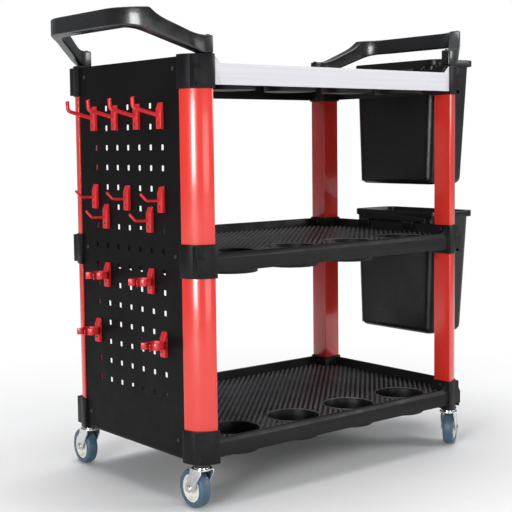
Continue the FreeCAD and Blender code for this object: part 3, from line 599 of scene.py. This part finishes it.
class CART_OT_pegboard(bpy.types.Operator):
    """Powder-coated pegboard, cut clean"""

    bl_idname = "cart.pegboard"
    bl_label = "Pegboard"

    def execute(self, context):
        node = "pegboard_panel"
        add_piece(merged_copy(node), node + "_finished", BODY_OF[node], "panel_black",
                  stands_for=[node])
        return {"FINISHED"}


def rivet(radius):
    """A small dished pin head, drawn about +Z."""
    return turned([
        (radius, -0.6), (radius, 0.25), (radius - 0.4, 0.55), (radius - 0.9, 0.5),
        (radius - 1.1, 0.1), (0, 0.0),
    ], steps=24)


class CART_OT_hooks(bpy.types.Operator):
    """Red hooks and spring clips, each with the pin that locks its lower peg"""

    bl_idname = "cart.hooks"
    bl_label = "Hooks and clips"

    def execute(self, context):
        plate_thick, pin_up, pin_radius = 8.0, 11.0, 2.4
        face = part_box("pegboard_panel")[0].x - plate_thick * MM
        for node in nodes_like("long_hook") + nodes_like("short_hook") + nodes_like("spring_clip"):
            shape = round_edges(merged_copy(node), sizes().hook_round, sharper_than=40)
            low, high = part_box(node)
            pin = Vector((face, (low.y + high.y) / 2, low.z + pin_up * MM))
            add_shape(shape, rivet(pin_radius), toward(pin, (-1, 0, 0)), material=1)
            add_piece(shape, node + "_finished", "root", "hook_red", "hook_red", "screw_black",
                      stands_for=[node], crease=40)
        return {"FINISHED"}


# ---------------------------------------------------------------- bins


class CART_OT_bins(bpy.types.Operator):
    """Hung bins with softened rims and bottoms"""

    bl_idname = "cart.bins"
    bl_label = "Bins"

    def execute(self, context):
        outside, skin = sizes().bin_bottom, sizes().bin_skin
        for node in ("upper_bin", "lower_bin"):
            shape = merged_copy(node, flat_within=2.5)
            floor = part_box(node)[0].z
            rims = floor + 100 * MM
            for level, radius in ((floor, outside), (floor + skin * MM, outside - skin)):
                round_edges(shape, radius, 6, within=lambda edge: self.lies_at(edge, level))
            round_edges(shape, sizes().bin_round, 3, within=lambda edge: self.lies_above(edge, rims))
            add_piece(shape, node + "_finished", BODY_OF[node], "bin_black", stands_for=[node])
        return {"FINISHED"}

    @staticmethod
    def lies_at(edge, level):
        return all(abs(corner.co.z - level) < 0.1 * MM for corner in edge.verts)

    @staticmethod
    def lies_above(edge, level):
        return all(corner.co.z > level for corner in edge.verts)


# ---------------------------------------------------------------- casters


def tyre_shape():
    """A soft tread whose section is a squared ellipse, seated on the hub."""
    seat, middle, tread, half, squareness = 26.95, 30.0, 38.0, 12.0, 0.62
    profile = [(seat, -half + 1.2)]
    turns = 22
    for i in range(turns + 1):
        angle = math.pi * (i / turns - 0.5)
        side, out = math.sin(angle), math.cos(angle)
        profile.append((
            middle + (tread - middle) * abs(out) ** squareness,
            half * math.copysign(abs(side) ** squareness, side),
        ))
    profile[1] = (seat + 1.0, -half)
    profile[-1] = (seat + 1.0, half)
    profile.append((seat, half - 1.2))
    return turned(profile, steps=96, closed=True)


def hub_shape():
    """A cream wheel centre with a rim ring, a dished web, a boss and a ring of small eyelets, each round a dark
    disc of painted shade where a hole would be.
    """
    lower = [
        (4.2, -13.3), (7.6, -13.3), (8.8, -12.4), (9.2, -6.0), (10.6, -4.2), (17.4, -3.6), (19.0, -4.4),
        (19.6, -7.0), (20.6, -7.6), (21.8, -7.6), (22.4, -9.6), (23.2, -10.7), (25.6, -10.7), (26.9, -9.9),
    ]
    profile = lower + [(radius, -height) for radius, height in reversed(lower)]
    shape = turned(profile, steps=96, closed=True)
    holes, hole_ring, hole_radius, web = 8, 14.0, 1.7, 3.7
    for side in (-1, 1):
        for hole in range(holes):
            angle = 2 * math.pi * hole / holes
            around = Vector((math.cos(angle), math.sin(angle), 0)) * hole_ring
            point = (around + Vector((0, 0, side * web))) * MM
            eyelet = turned([
                (hole_radius + 0.7, -0.6), (hole_radius + 0.6, 0.35), (hole_radius, 0.4),
                (hole_radius, -0.4),
            ], steps=20)
            add_shape(shape, eyelet, toward(point, (0, 0, side)))
            # Dark disc on the web inside each eyelet: painted shade standing in for the hole, which is not cut.
            floor = turned([(hole_radius, 0.02), (0, 0.02)], steps=20)
            add_shape(shape, floor, toward(point, (0, 0, side)), material=1)
    return shape


def bolt_shape():
    """A hexagon-headed axle bolt, its nut and two washers, drawn about +Z."""
    leg = 16.55  # outer face of the fork's legs
    seat, end = leg + 0.7, leg + 2.95
    shape = round_edges(prism(48, 3.95, -leg - 0.3, leg + 0.3), 0.2, 1)
    for side in (-1, 1):
        washer = prism(48, 6.8, *sorted((side * leg, side * seat)))
        add_shape(shape, round_edges(washer, 0.15))
        hexagon = prism(6, 6.3, *sorted((side * seat, side * end)))
        add_shape(shape, round_edges(hexagon, 0.35))
    collar = turned([
        (4.6, leg + 2.0), (4.6, leg + 2.98), (3.4, leg + 2.98), (3.0, leg + 2.2), (0, leg + 2.2),
    ], steps=36)
    add_shape(shape, collar)
    return shape


class CART_OT_casters(bpy.types.Operator):
    """Stems, dust seals and pressed forks of the four casters"""

    bl_idname = "cart.casters"
    bl_label = "Casters"

    def execute(self, context):
        for corner in CORNERS:
            soften(f"caster_stem_{corner}", 0.4, "zinc")
            soften(f"caster_fork_{corner}", sizes().steel_round, "zinc")
            soften(f"caster_race_{corner}", 0.5, "seal_black", segments=3)
        return {"FINISHED"}


class CART_OT_wheels(bpy.types.Operator):
    """Tyres, hubs and axle bolts on the casters' axle lines"""

    bl_idname = "cart.wheels"
    bl_label = "Wheels"

    def execute(self, context):
        for corner in CORNERS:
            roll = JOINTS["roll_" + corner]
            place = toward(roll["pos_m"], roll["axis"])
            for make, word, slot, finishes in (
                (tyre_shape, "tyre", "tyre_blue", ["tyre_blue"]),
                (hub_shape, "hub", "hub_cream", ["hub_cream", "painted_recess_shade"]),
                (bolt_shape, "axle", "zinc", ["zinc"]),
            ):
                node = f"caster_{word}_{corner}"
                shape = make()
                bmesh.ops.transform(shape, matrix=place, verts=shape.verts)
                add_piece(shape, node + "_finished", BODY_OF[node], slot, *finishes, stands_for=[node])
        return {"FINISHED"}


# ---------------------------------------------------------------- screws


def islands(shape):
    """The separate solids of a bmesh, each as a list of its vertices."""
    left = set(shape.verts)
    found = []
    while left:
        reached = [left.pop()]
        solid = list(reached)
        while reached:
            for link in reached.pop().link_edges:
                for vert in link.verts:
                    if vert in left:
                        left.remove(vert)
                        reached.append(vert)
                        solid.append(vert)
        found.append(solid)
    return found


def screw_shape(shank, head, tall, length):
    """A pan-head screw along +Z, its seat at height 0, with a plain chamfered shank and two dark crossed slabs on
    its head: painted shade standing in for the cross recess.
    """
    dome = [(head, 0), (head, tall * 0.45), (head * 0.9, tall * 0.8), (head * 0.6, tall), (0, tall)]
    tip = [(0, -length), (shank * 0.7, -length), (shank, -length + shank * 0.5), (shank, 0)]
    shape = turned(tip + dome, steps=40)
    bar = Matrix.Diagonal((head * 1.15 * MM, head * 0.24 * MM, 0.16 * MM, 1))
    # The cross recess is not cut: two dark slabs on the head's top carry painted shade in its place.
    for angle in (0, 90):
        recess_shade_slab = bmesh.new()
        bmesh.ops.create_cube(recess_shade_slab, size=1, matrix=bar)
        turn = Matrix.Rotation(math.radians(angle), 4, "Z")
        add_shape(shape, recess_shade_slab, Matrix.Translation((0, 0, tall * MM)) @ turn, material=1)
    return shape


class CART_OT_screws(bpy.types.Operator):
    """Cross-head screws at the posts, the handles and the pegboard"""

    bl_idname = "cart.screws"
    bl_label = "Screws"

    def execute(self, context):
        for node in ("post_screws", "handle_screws", "panel_screws"):
            source = merged_copy(node)
            group = bmesh.new()
            for solid in islands(source):
                points = [vert.co for vert in solid]
                low = Vector([min(p[i] for p in points) for i in range(3)])
                high = Vector([max(p[i] for p in points) for i in range(3)])
                middle, span = (low + high) / 2, high - low
                along = max(range(3), key=lambda i: span[i])
                head = max(span[i] for i in range(3) if i != along) / 2
                axis = Vector((0, 0, 0))
                axis[along] = -1 if self.wider_below(points, along, middle) else 1
                tall = 2.0
                seat = middle + axis * (span[along] / 2 - tall * MM)
                shank = 2.5 if node == "handle_screws" else 2.0
                screw = screw_shape(shank, head / MM, tall, span[along] / MM - tall)
                add_shape(group, screw, toward(seat, axis), material=None)
            source.free()
            add_piece(group, node + "_finished", "root", "screw_black", "screw_black", "painted_recess_shade",
                      stands_for=[node])
        return {"FINISHED"}

    @staticmethod
    def wider_below(points, along, middle):
        """Whether the head, which holds the points furthest from the axis, is at the low end."""
        far = max(points, key=lambda p: sum((p[i] - middle[i]) ** 2 for i in range(3) if i != along))
        return far[along] < middle[along]


# ---------------------------------------------------------------- stage


def softbox(name, place, target, width, height, power):
    """A white rectangular light that faces a target, its size in metres and its power in watts."""
    light = bpy.data.lights.new(name, "AREA")
    light.shape = "RECTANGLE"
    light.size, light.size_y = width, height
    light.energy = power
    lamp = bpy.data.objects.new(name, light)
    lamp.location = place
    lamp.rotation_euler = (Vector(target) - Vector(place)).to_track_quat("-Z", "Y").to_euler()
    bpy.context.scene.collection.objects.link(lamp)
    return lamp


class CART_OT_stage(bpy.types.Operator):
    """Pale floor, white surroundings, soft studio lights and the camera"""

    bl_idname = "cart.stage"
    bl_label = "Stage"

    def execute(self, context):
        scene = context.scene
        scene.view_settings.view_transform = "Standard"
        self.add_floor()
        self.add_surroundings(scene)
        middle = (0, 0, 0.5)
        softbox("key_right", (3.3, -3.3, 2.0), middle, 2.0, 1.7, 96)
        softbox("side_left", (-3.1, -1.5, 0.95), middle, 1.0, 1.1, 75)
        softbox("front_fill", (-0.7, -4.0, 0.8), middle, 1.8, 1.2, 24)
        softbox("overhead", (0.2, 0.3, 4.2), middle, 3.2, 3.2, 160)
        self.add_camera(scene)
        return {"FINISHED"}

    def add_floor(self):
        """Paper sheet that takes the cart's soft shadow and fades to plain white further out."""
        shape = bmesh.new()
        bmesh.ops.create_grid(shape, x_segments=8, y_segments=8, size=30)
        mesh = bpy.data.meshes.new("floor")
        shape.to_mesh(mesh)
        shape.free()
        finish = Finish("floor_paper", colours().floor, 0.7)
        finish.mottle(finish.noise(3, detail=3), 0.985, 1.015)
        tree = finish.tree
        place = tree.nodes.new("ShaderNodeTexCoord")
        distance = tree.nodes.new("ShaderNodeVectorMath")
        distance.operation = "LENGTH"
        fade = tree.nodes.new("ShaderNodeMapRange")
        fade.interpolation_type = "SMOOTHSTEP"
        fade.inputs["From Min"].default_value = 0.45
        fade.inputs["From Max"].default_value = 1.5
        ray = tree.nodes.new("ShaderNodeLightPath")
        seen = tree.nodes.new("ShaderNodeMath")
        seen.operation = "MULTIPLY"
        white = tree.nodes.new("ShaderNodeEmission")
        mix = tree.nodes.new("ShaderNodeMixShader")
        tree.links.new(place.outputs["Object"], distance.inputs[0])
        tree.links.new(distance.outputs["Value"], fade.inputs["Value"])
        tree.links.new(fade.outputs["Result"], seen.inputs[0])
        tree.links.new(ray.outputs["Is Camera Ray"], seen.inputs[1])
        tree.links.new(seen.outputs["Value"], mix.inputs["Fac"])
        tree.links.new(finish.shader.outputs["BSDF"], mix.inputs[1])
        tree.links.new(white.outputs["Emission"], mix.inputs[2])
        tree.links.new(mix.outputs["Shader"], tree.nodes["Material Output"].inputs["Surface"])
        mesh.materials.append(finish.material)
        floor = bpy.data.objects.new("floor", mesh)
        bpy.context.scene.collection.objects.link(floor)

    def add_surroundings(self, scene):
        """White where the camera looks past the cart, and a dimmer room for light and reflections."""
        world = bpy.data.worlds.new("studio")
        scene.world = world
        world.use_nodes = True
        tree = world.node_tree
        room = tree.nodes["Background"]
        room.inputs["Color"].default_value = (0.92, 0.95, 1.0, 1)
        room.inputs["Strength"].default_value = 0.28
        seen = tree.nodes.new("ShaderNodeBackground")
        seen.inputs["Color"].default_value = (1, 1, 1, 1)
        seen.inputs["Strength"].default_value = 1.0
        ray = tree.nodes.new("ShaderNodeLightPath")
        mix = tree.nodes.new("ShaderNodeMixShader")
        tree.links.new(ray.outputs["Is Camera Ray"], mix.inputs["Fac"])
        tree.links.new(room.outputs["Background"], mix.inputs[1])
        tree.links.new(seen.outputs["Background"], mix.inputs[2])
        tree.links.new(mix.outputs["Shader"], tree.nodes["World Output"].inputs["Surface"])

    def add_camera(self, scene):
        """Low three-quarter view from the pegboard end."""
        heading, pitch, roll = math.radians(38.74), math.radians(-4.64), math.radians(-0.70)
        ahead = Vector((
            math.sin(heading) * math.cos(pitch), math.cos(heading) * math.cos(pitch), math.sin(pitch),
        ))
        level = Vector((math.cos(heading), -math.sin(heading), 0))
        over = level.cross(ahead)
        right = math.cos(roll) * level + math.sin(roll) * over
        up = math.cos(roll) * over - math.sin(roll) * level
        lens = bpy.data.cameras.new("camera")
        lens.lens = 80.13
        lens.sensor_width = 36.0
        lens.shift_x, lens.shift_y = 0.0195, -0.0391
        camera = bpy.data.objects.new("camera", lens)
        turn = Matrix((right, up, -ahead)).transposed().to_4x4()
        camera.matrix_world = Matrix.Translation((-1.6123, -1.9203, 0.6954)) @ turn
        scene.collection.objects.link(camera)
        scene.camera = camera


# ---------------------------------------------------------------- panel and main


PIECE_OPERATORS = (
    CART_OT_shelves,
    CART_OT_front_trim,
    CART_OT_posts,
    CART_OT_handles,
    CART_OT_pegboard,
    CART_OT_hooks,
    CART_OT_bins,
    CART_OT_casters,
    CART_OT_wheels,
    CART_OT_screws,
    CART_OT_stage,
)


class CART_PT_sidebar(bpy.types.Panel):
    """Lists the cart's pieces, sizes and colours"""

    bl_label = "Utility cart"
    bl_idname = "CART_PT_sidebar"
    bl_space_type = "VIEW_3D"
    bl_region_type = "UI"
    bl_category = "Cart"

    def draw(self, context):
        for operator in PIECE_OPERATORS:
            self.layout.operator(operator.bl_idname)
        for group in (context.scene.cart_sizes, context.scene.cart_colours):
            box = self.layout.box()
            for name in group.__annotations__:
                box.prop(group, name)


CLASSES = (CartSizes, CartColours, *PIECE_OPERATORS, CART_PT_sidebar)


def register():
    for cls in CLASSES:
        bpy.utils.register_class(cls)
    bpy.types.Scene.cart_sizes = bpy.props.PointerProperty(type=CartSizes)
    bpy.types.Scene.cart_colours = bpy.props.PointerProperty(type=CartColours)


def unregister():
    del bpy.types.Scene.cart_colours
    del bpy.types.Scene.cart_sizes
    for cls in reversed(CLASSES):
        bpy.utils.unregister_class(cls)


def main():
    register()
    for operator in PIECE_OPERATORS:
        group, name = operator.bl_idname.split(".")
        getattr(getattr(bpy.ops, group), name)()


if __name__ == "__main__":
    main()
